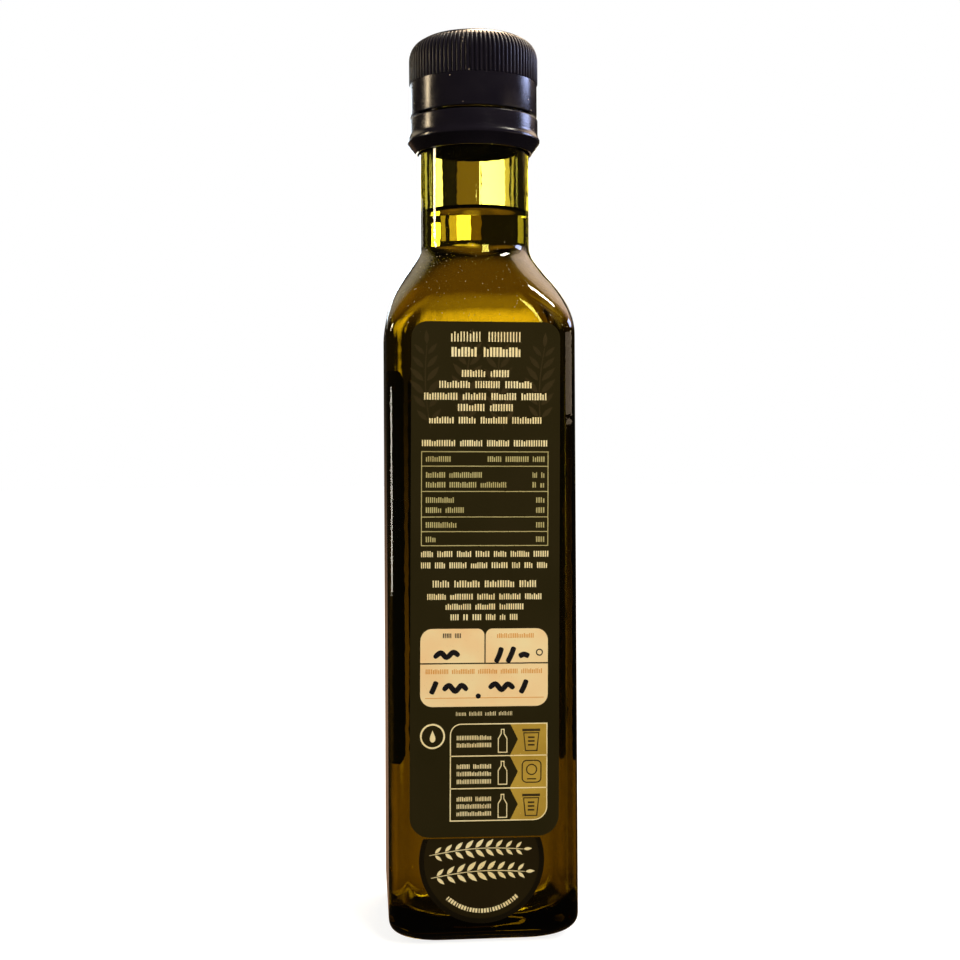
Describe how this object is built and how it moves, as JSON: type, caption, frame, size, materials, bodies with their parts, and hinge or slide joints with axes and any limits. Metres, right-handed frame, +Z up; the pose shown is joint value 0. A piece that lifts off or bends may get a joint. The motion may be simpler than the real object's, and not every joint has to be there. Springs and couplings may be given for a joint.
{
  "type": "olive oil bottle",
  "caption": "Square dark green glass bottle full of oil, with a rounded shoulder, round neck, ribbed black screw cap, tamper band and dark labels; it stands on its base.",
  "frame": {"origin": "middle of the base, on the surface that the bottle stands on", "axes": "+Z up along the bottle's axis; -Y out of the face with the long back label"},
  "size_m": [0.046, 0.0468, 0.2232],
  "materials": {
    "dark_glass": "clear dark olive green glass",
    "oil": "clear golden green oil",
    "black_plastic": "semi-gloss navy black",
    "label_film": "satin dark olive film with cream print",
    "seal_film": "satin dark brown film with cream print"
  },
  "bodies": {
    "root": {"bottle_glass": "dark_glass", "olive_oil": "oil", "screw_cap": "black_plastic", "tamper_band": "black_plastic", "back_label": "label_film", "round_seal": "seal_film", "front_label": "label_film"}
  },
  "joints": []
}
